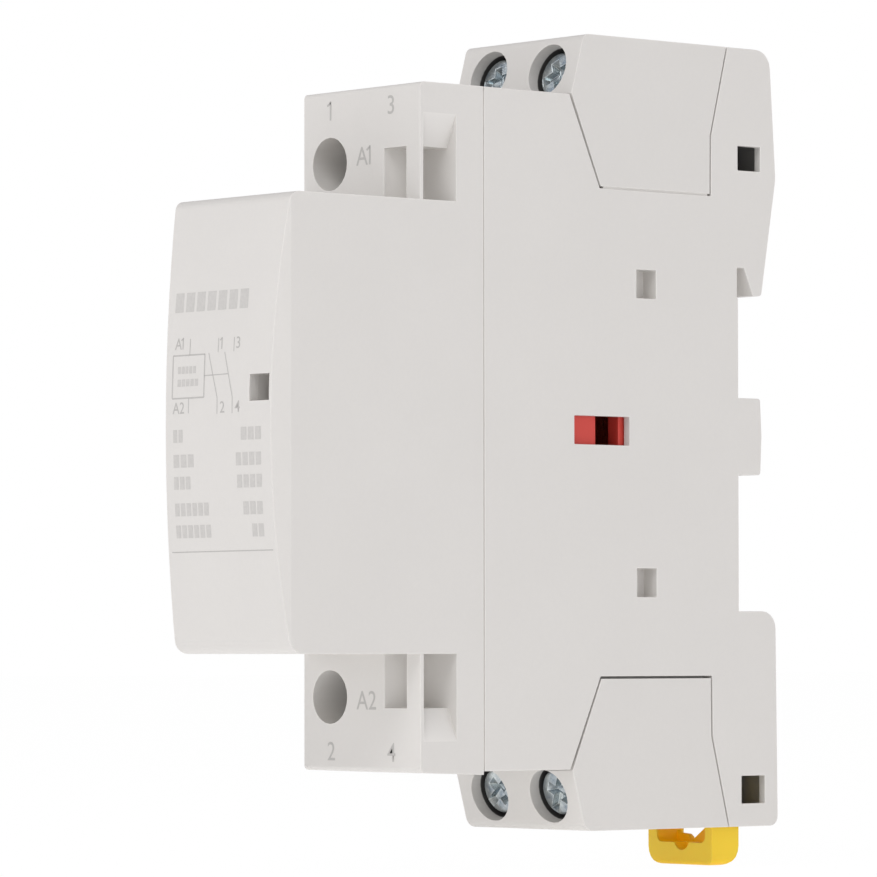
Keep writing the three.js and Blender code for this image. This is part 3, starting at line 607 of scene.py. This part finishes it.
# %% Stampings and small mouldings
SMALL_RADII = {
    "contact_carrier": 0.12,
    "indicator_flag": 0.12,
    "coil_bobbin": 0.15,
    "coil_winding": 0.3,
    "magnet_core": 0.1,
    "armature": 0.1,
    "armature_pin": 0.12,
    "shading_ring_upper": 0.1,
    "shading_ring_lower": 0.1,
    "contact_bridge_left": 0.12,
    "contact_bridge_right": 0.12,
}
for number in (1, 2, 3, 4):
    SMALL_RADII[f"fixed_contact_{number}"] = 0.08
    SMALL_RADII[f"terminal_cage_{number}"] = 0.12
for end in ("a1", "a2"):
    SMALL_RADII[f"coil_terminal_{end}"] = 0.08
    SMALL_RADII[f"coil_cage_{end}"] = 0.1
for node, radius in SMALL_RADII.items():
    piece = copy_of(node, node + "_finished")
    soften(piece, radius)
    settle(piece, body_of[node], slots[node], node)
print("softened:", len(SMALL_RADII))

# %% [markdown]
# Turned pieces - screws, rivets and contact tips - are made as a lathe would make them: a
# disc is extruded along its axis again and again and scaled to the next radius. The profile
# is a list of heights and radii in millimetres, so thread ridges are a loop.

# %% Turned pieces
def turned(name, profile, sides=36):
    """A closed round piece along Z through (height, radius) steps, in millimetres."""
    height, radius = profile[0]
    bpy.ops.object.select_all(action="DESELECT")
    bpy.ops.mesh.primitive_circle_add(
        vertices=sides, radius=radius * mm, fill_type="NGON", location=(0, 0, height * mm)
    )
    piece = bpy.context.object
    piece.name = name
    bpy.ops.object.transform_apply(location=True, rotation=False, scale=False)
    bpy.ops.object.mode_set(mode="EDIT")
    bpy.ops.mesh.select_all(action="SELECT")
    for next_height, next_radius in profile[1:]:
        rise = (next_height - height) * mm
        bpy.ops.mesh.extrude_region_move(TRANSFORM_OT_translate={"value": (0, 0, rise)})
        ratio = next_radius / radius
        bpy.ops.transform.resize(value=(ratio, ratio, 1), center_override=(0, 0, 0))
        height, radius = next_height, next_radius
    bpy.ops.mesh.select_all(action="SELECT")
    bpy.ops.mesh.normals_make_consistent(inside=False)
    bpy.ops.object.mode_set(mode="OBJECT")
    return piece


def duplicate(piece, name):
    """A copy with a mesh of its own."""
    twin = bpy.data.objects.new(name, piece.data.copy())
    bpy.context.scene.collection.objects.link(twin)
    return twin


def aim(piece, place, outwards):
    """Turns a piece so that its +Z points outwards, and moves it to its place."""
    piece.rotation_mode = "QUATERNION"
    piece.rotation_quaternion = Vector(outwards).to_track_quat("Z", "Y")
    piece.location = place


print("lathe ready")

# %% [markdown]
# The clamp screws have a combined recess: a cross for one driver and a longer slot for the
# other, with a square cone in the middle. Three tapered cutters are made from cubes and
# taken out of the head one by one with Booleans. A fine bevel then
# gives the recess the bright edges that zinc plate shows.

# %% Screws
def tapered_cutter(half_length, half_width, depth, taper):
    bpy.ops.object.select_all(action="DESELECT")
    bpy.ops.mesh.primitive_cube_add(size=2, location=(0, 0, 0))
    cutter = bpy.context.object
    cutter.scale = (half_length * mm, half_width * mm, depth * mm)
    bpy.ops.object.transform_apply(location=False, rotation=False, scale=True)
    bpy.ops.object.mode_set(mode="EDIT")
    bpy.ops.mesh.select_mode(type="FACE")
    bpy.ops.mesh.select_all(action="DESELECT")
    shape = bmesh.from_edit_mesh(cutter.data)
    for face in shape.faces:
        face.select_set(face.normal.z < -0.5)
    bmesh.update_edit_mesh(cutter.data)
    bpy.ops.transform.resize(value=(taper, taper, 1), center_override=(0, 0, 0))
    bpy.ops.object.mode_set(mode="OBJECT")
    return cutter


def screw_blank(name, head_radius, head_height, shank_radius, length, pitch=0.6):
    """Head top at z = 0, shank down to -length, ridges at one pitch."""
    top = [(0, head_radius - 0.42), (-0.06, head_radius - 0.2), (-0.22, head_radius - 0.04)]
    rim = [(-0.4, head_radius), (-head_height + 0.15, head_radius)]
    rim += [(-head_height, head_radius - 0.12)]
    neck = [(-head_height, shank_radius - 0.2)]
    ridges = []
    start = head_height + 0.5
    for turn_number in range(int((length - start - 0.5) / pitch)):
        drop = start + turn_number * pitch
        ridges += [(-drop, shank_radius - 0.2), (-drop - pitch * 0.45, shank_radius)]
    tip = [(-length + 0.35, shank_radius - 0.2), (-length, shank_radius - 0.55)]
    blank = turned(name, top + rim + neck + ridges + tip)
    arm = head_radius * 0.8
    cutters = [
        tapered_cutter(head_radius * 0.97, arm * 0.3, head_height * 0.4, 0.72),
        tapered_cutter(arm, arm * 0.36, head_height * 0.5, 0.5),
        tapered_cutter(arm * 0.56, arm * 0.56, head_height * 0.6, 0.2),
    ]
    cutters[1].rotation_euler.z = math.radians(90)
    cutters[2].rotation_euler.z = math.radians(45)
    for cutter in cutters:
        modify(blank, "BOOLEAN", object=cutter, operation="DIFFERENCE", solver="EXACT")
        bpy.data.objects.remove(cutter)
    merged(blank, flat=0.2)
    soften(blank, 0.045, segments=2, angle=28)
    return blank


def measure_screw(node, joint):
    """Head top, tip and head radius of a screw node along its joint's axis, in mm."""
    place, axis = Vector(joint["pos_m"]), Vector(joint["axis"]).normalized()
    offsets = [vertex.co - place for vertex in frame["nodes"][node].data.vertices]
    drops = [offset.dot(axis) for offset in offsets]
    radii = [(offset - axis * offset.dot(axis)).length for offset in offsets]
    return min(drops) / mm, max(drops) / mm, max(radii) / mm


SCREW_TURNS = {"1": 12, "2": 38, "3": 24, "4": 62, "a1": 30, "a2": 55}
blanks = {}
for mark, degrees in SCREW_TURNS.items():
    small = mark.startswith("a")
    node = ("coil_screw_" if small else "terminal_screw_") + mark
    joint = joints[("coil_screw_" if small else "screw_") + mark + "_turn"]
    top, tip, radius = measure_screw(node, joint)
    if small not in blanks:
        height, shank = (1.8, 1.45) if small else (2.0, 1.75)
        blanks[small] = screw_blank("screw_blank", radius, height, shank, tip - top)
    screw = duplicate(blanks[small], node + "_finished")
    axis = Vector(joint["axis"]).normalized()
    screw.data.transform(Matrix.Rotation(math.radians(degrees), 4, "Z"))
    aim(screw, Vector(joint["pos_m"]) + axis * top * mm, -axis)
    settle(screw, body_of[node], slots[node], node)
for blank in blanks.values():
    bpy.data.objects.remove(blank)
print("screws:", len(SCREW_TURNS))

# %% [markdown]
# The contact tips are small discs of silver alloy brazed to the copper, slightly domed so
# that they touch at one point and wipe clean. One tip of each kind is turned and copied.

# %% Contact tips
def domed_tip(radius, height):
    dome = [(0, radius), (height * 0.55, radius), (height * 0.8, radius * 0.93)]
    dome += [(height * 0.94, radius * 0.6), (height, radius * 0.2)]
    tip = turned("tip_pattern", dome, sides=32)
    only(tip)
    bpy.ops.object.shade_smooth_by_angle(angle=TURNED_ANGLE)
    return tip


for kind, faces_back in (("fixed", True), ("bridge", False)):
    low, high = corners_of(kind + "_tip_1")
    pattern = domed_tip((high.x - low.x) / 2, high.y - low.y)
    for number in (1, 2, 3, 4):
        node = f"{kind}_tip_{number}"
        low, high = corners_of(node)
        foot = low.y if faces_back else high.y
        tip = duplicate(pattern, node + "_finished")
        aim(
            tip,
            Vector(((low.x + high.x) / 2, foot, (low.z + high.z) / 2)) * mm,
            (0, 1 if faces_back else -1, 0),
        )
        settle(tip, body_of[node], slots[node], node)
    bpy.data.objects.remove(pattern)
print("tips done")

# %% [markdown]
# Springs are round wire wound in a helix. A small circle swept by the Screw modifier makes
# the coils exactly, and its two open ends are then filled. The return springs are squeezed
# between the cover and the slide, and the contact springs between slide and bridge, so both
# shorten as the slide moves.

# %% Springs
def coil_spring(node, wire, turns, sides=10, steps=28):
    """A spring along Z as wide and as long as a node; wire is its radius in mm."""
    low, high = corners_of(node)
    radius = (high.x - low.x) / 2 - wire
    length = high.y - low.y - 2 * wire
    bpy.ops.object.select_all(action="DESELECT")
    bpy.ops.mesh.primitive_circle_add(
        vertices=sides,
        radius=wire * mm,
        location=(radius * mm, 0, 0),
        rotation=(math.radians(90), 0, 0),
    )
    spring = bpy.context.object
    spring.name = "spring_pattern"
    bpy.ops.object.transform_apply(location=True, rotation=True, scale=True)
    modify(
        spring,
        "SCREW",
        axis="Z",
        angle=2 * math.pi,
        screw_offset=length / turns * mm,
        iterations=turns,
        steps=steps,
        render_steps=steps,
    )
    only(spring)
    bpy.ops.object.mode_set(mode="EDIT")
    bpy.ops.mesh.select_all(action="SELECT")
    bpy.ops.mesh.remove_doubles(threshold=0.001 * mm)
    bpy.ops.mesh.fill_holes(sides=0)
    bpy.ops.mesh.select_all(action="SELECT")
    bpy.ops.mesh.normals_make_consistent(inside=False)
    bpy.ops.object.mode_set(mode="OBJECT")
    bpy.ops.object.shade_smooth_by_angle(angle=SOFT_ANGLE)
    return spring


def fit_spring(pattern, node, wire, body):
    """Copies a spring into a node's place."""
    low, high = corners_of(node)
    middle = (low + high) / 2
    spring = duplicate(pattern, node + "_finished")
    aim(spring, Vector((middle.x, low.y + wire, middle.z)) * mm, (0, 1, 0))
    settle(spring, body, slots[node], node)
    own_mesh(spring)


RETURN_WIRE, CONTACT_WIRE = 0.25, 0.3
pattern = coil_spring("return_spring_upper", RETURN_WIRE, 6)
for end in ("upper", "lower"):
    node = "return_spring_" + end
    fit_spring(pattern, node, RETURN_WIRE, "housing")
bpy.data.objects.remove(pattern)

pattern = coil_spring("contact_spring_left", CONTACT_WIRE, 4)
for side in ("left", "right"):
    node = "contact_spring_" + side
    joint = joints[f"bridge_{side}_slide"]
    fit_spring(pattern, node, CONTACT_WIRE, "carrier")
bpy.data.objects.remove(pattern)

# %% [markdown]
# Behind the nose window a short square sleeve guides the flag. It is what one sees through
# the window from the side, and it keeps the inside of the case out of sight. A cube gives
# the outside, and a longer cube is taken out of it.

# %% Window sleeve
def block_between(low, high):
    """A cube stretched between two corners in millimetres."""
    low, high = Vector(low), Vector(high)
    bpy.ops.object.select_all(action="DESELECT")
    bpy.ops.mesh.primitive_cube_add(size=1, location=(low + high) / 2 * mm)
    made = bpy.context.object
    made.scale = (high - low) * mm
    bpy.ops.object.transform_apply(location=True, rotation=False, scale=True)
    return made


flag_low, flag_high = corners_of("indicator_flag")
SLEEVE_FRONT, SLEEVE_BACK = -60.05, -56.3
sleeve = block_between(
    (flag_low.x - 0.85, SLEEVE_FRONT, flag_low.z - 0.75),
    (flag_high.x + 0.45, SLEEVE_BACK, flag_high.z + 0.75),
)
sleeve.name = "window_sleeve"
path = block_between(
    (flag_low.x - 0.35, SLEEVE_FRONT - 1, flag_low.z - 0.25),
    (flag_high.x + 0.2, SLEEVE_BACK + 1, flag_high.z + 0.25),
)
modify(sleeve, "BOOLEAN", object=path, operation="DIFFERENCE", solver="EXACT")
bpy.data.objects.remove(path)
soften(sleeve, 0.06)
settle(sleeve, "housing", "housing_grey")
print("sleeve from", round(flag_low.x - 0.85, 2), "to", round(flag_high.x + 0.45, 2), "mm")

# %% [markdown]
# Case parts that meet have a tongue on one and a rebate on the other, so that light and dust
# stay out. From outside only a shallow, pale line shows. Slim strips just under the surface
# close the long seams in this way.

# %% Seam tongues
SEAM_DEPTH = 0.13
half_width = cad_high.x / mm
for side in (1, -1):
    reach = sorted((side * (half_width - SEAM_DEPTH), side * (half_width - 0.7)))
    cover_tongue = block_between((reach[0], -34.95, -33.5), (reach[1], -34.55, 33.5))
    cover_tongue.name = "cover_tongue_right" if side > 0 else "cover_tongue_left"
    soften(cover_tongue, 0.04)
    settle(cover_tongue, "housing", "housing_grey")
# The upper shelf's tongue is shallow; the lower one is deep and takes the dark flag finish as painted shade in its
# seam, which gapes more.
SHELF_TONGUES = [("upper", 1, SEAM_DEPTH, "housing_grey"), ("lower", -1, 0.8, "flag_dark")]
for end, sign, depth, finish_name in SHELF_TONGUES:
    heights = sorted((sign * 24.4, sign * 24.85))
    shelf_tongue = block_between(
        (half_width - depth - 0.55, -18.6, heights[0]), (half_width - depth, -4.2, heights[1])
    )
    shelf_tongue.name = "shelf_tongue_" + end
    soften(shelf_tongue, 0.04)
    settle(shelf_tongue, "housing", "housing_grey", material=finishes[finish_name])
print("tongues at", round(half_width - SEAM_DEPTH, 2), "mm from the middle")

# %% [markdown]
# The rail latch is pulled down with a screwdriver through its eye. The eye has a round
# relief in its lower edge and a thin web across its back with a V in it, where the blade
# finds its hold. The relief is cut with a cylinder. The web starts as a disc with one corner
# per bend of the outline; its corners are moved into place and it is extruded.

# %% Rail latch
clip_low, clip_high = corners_of("rail_clip")
latch = copy_of("rail_clip", "rail_latch")
EYE_BOTTOM = clip_low.z + 2.3
bpy.ops.object.select_all(action="DESELECT")
bpy.ops.mesh.primitive_cylinder_add(
    vertices=32,
    radius=1.15 * mm,
    depth=2.2 * mm,
    location=Vector((0.7, clip_low.y + 0.5, EYE_BOTTOM + 0.35)) * mm,
    rotation=(math.radians(90), 0, 0),
)
relief = bpy.context.object
modify(latch, "BOOLEAN", object=relief, operation="DIFFERENCE", solver="EXACT")
bpy.data.objects.remove(relief)
merged(latch, flat=0.2)
soften(latch, 0.22, segments=3, angle=30)
settle(latch, "clip", "clip_yellow", "rail_clip")

WEB_BACK = clip_high.y - 0.25
WEB_OUTLINE = [
    (-3.2, -40.6),
    (-3.2, -42.3),
    (4.4, -42.3),
    (4.4, -39.6),
    (2.3, -39.6),
    (0.75, -40.7),
    (-0.97, -41.9),
    (-1.1, -41.45),
    (-1.5, -41.15),
    (-2.8, -41.05),
]
bpy.ops.object.select_all(action="DESELECT")
bpy.ops.mesh.primitive_circle_add(vertices=len(WEB_OUTLINE), fill_type="NGON")
web = bpy.context.object
web.name = "rail_latch_web"
for vertex, (x, z) in zip(web.data.vertices, WEB_OUTLINE):
    vertex.co = Vector((x, WEB_BACK, z)) * mm
bpy.ops.object.mode_set(mode="EDIT")
bpy.ops.mesh.select_all(action="SELECT")
bpy.ops.mesh.extrude_region_move(TRANSFORM_OT_translate={"value": (0, -0.7 * mm, 0)})
bpy.ops.mesh.select_all(action="SELECT")
bpy.ops.mesh.normals_make_consistent(inside=False)
bpy.ops.object.mode_set(mode="OBJECT")
soften(web, 0.1)
settle(web, "clip", "clip_yellow")
print("latch done")

# %% [markdown]
# Four rivets hold the magnet's sheets together. Only their domed heads stand out of the
# pack's sides, so each is a short turned pin as long as the pack with a head at both ends.

# %% Magnet rivets
core_low, core_high = corners_of("magnet_core")
thickness = core_high.x - core_low.x
HEAD = 0.28
rivet_profile = [
    (-HEAD, 0.35),
    (-HEAD * 0.5, 0.62),
    (0, 0.7),
    (0, 0.45),
    (thickness, 0.45),
    (thickness, 0.7),
    (thickness + HEAD * 0.5, 0.62),
    (thickness + HEAD, 0.35),
]
pattern = turned("rivet_pattern", rivet_profile, sides=20)
only(pattern)
bpy.ops.object.shade_smooth_by_angle(angle=TURNED_ANGLE)
RIVET_PLACES = [(-40.5, 15.2), (-40.5, -15.2), (-55.6, 8.5), (-55.6, -8.5)]
for number, (y, z) in enumerate(RIVET_PLACES, start=1):
    rivet = duplicate(pattern, f"magnet_rivet_{number}")
    aim(rivet, Vector((core_low.x, y, z)) * mm, (1, 0, 0))
    settle(rivet, "housing", "zinc_steel")
bpy.data.objects.remove(pattern)
print("rivets:", len(RIVET_PLACES))

# %% [markdown]
# Marks: the wiring diagram and rows of plain blocks where lines of print would be. Each
# mark starts flat in front of the nose and is then laid on the crown by projecting it
# along Y, about a hundredth of a millimetre proud of the plastic.

# %% Marks on the nose
INK_LIFT = 0.012
MARKS_START = -64  # mm along Y, in front of the nose
marks = []


def bar(start, end, width):
    """A thin flat strip from one (x, z) point to another, in millimetres."""
    across, up = end[0] - start[0], end[1] - start[1]
    length = math.hypot(across, up)
    bpy.ops.object.select_all(action="DESELECT")
    bpy.ops.mesh.primitive_grid_add(x_subdivisions=8, y_subdivisions=1, size=1)
    strip = bpy.context.object
    middle = Vector(((start[0] + end[0]) / 2, MARKS_START, (start[1] + end[1]) / 2)) * mm
    slope = math.atan2(up, across)
    strip.matrix_world = (
        Matrix.Translation(middle)
        @ Matrix.Rotation(math.radians(90), 4, "X")
        @ Matrix.Rotation(slope, 4, "Z")
        @ Matrix.Diagonal((length * mm, width * mm, 1, 1))
    )
    marks.append(strip)


def label(text, x, z, height):
    """Flat lettering whose left foot is at (x, z); a 1 is drawn as two strokes."""
    if text.endswith("1"):
        stem = x + (1.1 * height if len(text) > 1 else 0.25 * height)
        bar((stem, z), (stem, z + height), height * 0.13)
        bar((stem - height * 0.26, z + height * 0.76), (stem, z + height * 0.93), height * 0.12)
        text = text[:-1]
    if not text:
        return
    bpy.ops.object.select_all(action="DESELECT")
    bpy.ops.object.text_add(
        location=Vector((x, MARKS_START, z)) * mm, rotation=(math.radians(90), 0, 0)
    )
    words = bpy.context.object
    words.data.body = text
    words.data.size = height * 1.4 * mm
    words.data.resolution_u = 4
    words.data.offset = 0.004 * mm
    bpy.ops.object.convert(target="MESH")
    words = bpy.context.object
    marks.append(words)


def joined(pieces, name):
    bpy.ops.object.select_all(action="DESELECT")
    for piece in pieces:
        piece.select_set(True)
    bpy.context.view_layer.objects.active = pieces[0]
    bpy.ops.object.join()
    whole = bpy.context.object
    whole.name = name
    bpy.ops.object.transform_apply(location=True, rotation=True, scale=True)
    return whole


def lay_on(piece, target, lift):
    modify(
        piece,
        "SHRINKWRAP",
        target=target,
        wrap_method="PROJECT",
        use_project_x=False,
        use_project_y=True,
        use_project_z=False,
        use_positive_direction=True,
        use_negative_direction=False,
        offset=lift * mm,
    )


# The diagram: the coil's box, its leads and link, two switch blades and their numbers.
THIN_LINE, BOX_LINE = 0.1, 0.14
COIL_BOX = [(-7.2, 2.7), (-2.2, 2.7), (-2.2, 6.9), (-7.2, 6.9)]
COIL_LEADS = [((-4.6, 6.9), (-4.6, 8.5)), ((-4.6, 2.7), (-4.6, 1.2)), ((-2.2, 4.8), (1.5, 4.85))]
BLADES = [((-0.1, 1.0), (-1.6, 7.0), -0.15), ((2.25, 1.0), (0.9, 7.0), 2.3)]
DIAGRAM_NUMBERS = [
    ("A1", -7.0, 7.5),
    ("A2", -7.1, 1.2),
    ("1", 0.1, 7.3),
    ("3", 2.55, 7.3),
    ("2", 0.3, 1.1),
    ("4", 2.65, 1.1),
]
for start, end in zip(COIL_BOX, COIL_BOX[1:] + COIL_BOX[:1]):
    bar(start, end, BOX_LINE)
for start, end in COIL_LEADS:
    bar(start, end, THIN_LINE)
for foot, top, stub in BLADES:
    bar((foot[0], 2.6), top, THIN_LINE)
    bar(foot, (foot[0], 2.6), THIN_LINE)
    bar((stub, 7.0), (stub, 8.4), THIN_LINE)
for text, x, z in DIAGRAM_NUMBERS:
    label(text, x, z, 1.15)
bar((-7.9, -12.35), (7.9, -12.3), THIN_LINE)
nose_diagram = joined(marks, "nose_diagram")
lay_on(nose_diagram, case["front_cover"], INK_LIFT)
settle(nose_diagram, "housing", "housing_grey", material=printed_ink)
marks.clear()


def row_of_blocks(start, end, z, height, width):
    """Upright blocks side by side, in place of a line of print."""
    count = max(1, round((end - start) / (width * 1.3)))
    step = (end - start) / count
    for number in range(count):
        left = start + number * step
        bar((left, z), (left + step - width * 0.3, z), height)


RATING_ROWS = [
    # height, end of the left block row, start of the right one
    (-1.0, -5.3, 3.6),
    (-3.45, -3.6, 2.8),
    (-5.6, -4.2, 2.9),
    (-8.2, -1.5, 3.7),
    (-10.35, -1.3, 4.9),
]
for z, left_end, right_start in RATING_ROWS:
    row_of_blocks(-7.0, left_end, z, 1.25, 0.75)
    row_of_blocks(right_start, 6.9, z, 1.25, 0.75)
row_of_blocks(-7.3, 4.5, 12.1, 1.9, 1.3)
for z, left_end in [(4.2, -3.0), (5.45, -3.4)]:
    row_of_blocks(-6.4, left_end, z, 0.7, 0.5)
nose_rows = joined(marks, "nose_rows")
lay_on(nose_rows, case["front_cover"], INK_LIFT)
settle(nose_rows, "housing", "housing_grey", material=faint_ink)
print("marks:", len(nose_diagram.data.polygons), "and", len(nose_rows.data.polygons), "faces")

# %% [markdown]
# The terminal numbers are printed on the shoulders in the same ink: odd numbers and A1 for
# the upper end, even numbers and A2 for the lower one.

# %% Terminal numbers
SHOULDER_NUMBERS = [
    ("1", -5.3, 31.0),
    ("3", 3.9, 31.0),
    ("2", -5.4, -32.9),
    ("4", 3.9, -32.9),
    ("A1", -0.8, 26.2),
    ("A2", -0.8, -27.8),
]
marks.clear()
for text, x, z in SHOULDER_NUMBERS:
    label(text, x, z, 1.9)
numbers = joined(marks, "shoulder_numbers")
lay_on(numbers, case["front_cover"], INK_LIFT)
settle(numbers, "housing", "housing_grey", material=printed_ink)
print("terminal numbers:", [round(v / mm, 2) for v in numbers.dimensions])

# %% [markdown]
# The floor is a plain pale sheet just under the latch. To the camera it glows almost white,
# so it meets the backdrop without a line and keeps only a trace of contact shadow. To the
# part it is a white sheet lit from below, as on a catalogue maker's light table. Its
# underside is clear, so that the part can also be looked at from below.

# %% Floor
FLOOR_GAP = 0.1  # mm below the latch
WHITENESS = 0.97  # share of plain white that the camera sees
bpy.ops.object.select_all(action="DESELECT")
bpy.ops.mesh.primitive_plane_add(size=6, location=(0, 0, cad_low.z - FLOOR_GAP * mm))
floor = bpy.context.object
floor.name = "floor"
pale = Finish("pale_floor", roughness=0.9, Emission_Strength=0.4)
pale.set("Base Color", pale.blend(pale.noise(6), (0.86, 0.86, 0.86), (0.9, 0.9, 0.9)))
pale.set("Emission Color", (1, 1, 1, 1))
white = pale.tree.nodes.new("ShaderNodeEmission")
camera_only = pale.tree.nodes.new("ShaderNodeMixShader")
pale.feed(camera_only.inputs["Fac"], pale.node("LightPath", output="Is Camera Ray") * WHITENESS)
pale.tree.links.new(pale.shader.outputs[0], camera_only.inputs[1])
pale.tree.links.new(white.outputs[0], camera_only.inputs[2])
clear = pale.tree.nodes.new("ShaderNodeBsdfTransparent")
from_below = pale.tree.nodes.new("ShaderNodeMixShader")
pale.feed(from_below.inputs["Fac"], pale.node("NewGeometry", output="Backfacing"))
pale.tree.links.new(camera_only.outputs[0], from_below.inputs[1])
pale.tree.links.new(clear.outputs[0], from_below.inputs[2])
pale.tree.links.new(from_below.outputs[0], pale.tree.nodes["Material Output"].inputs["Surface"])
floor.data.materials.append(pale.material)
print("floor at", round(floor.location.z / mm, 2), "mm")
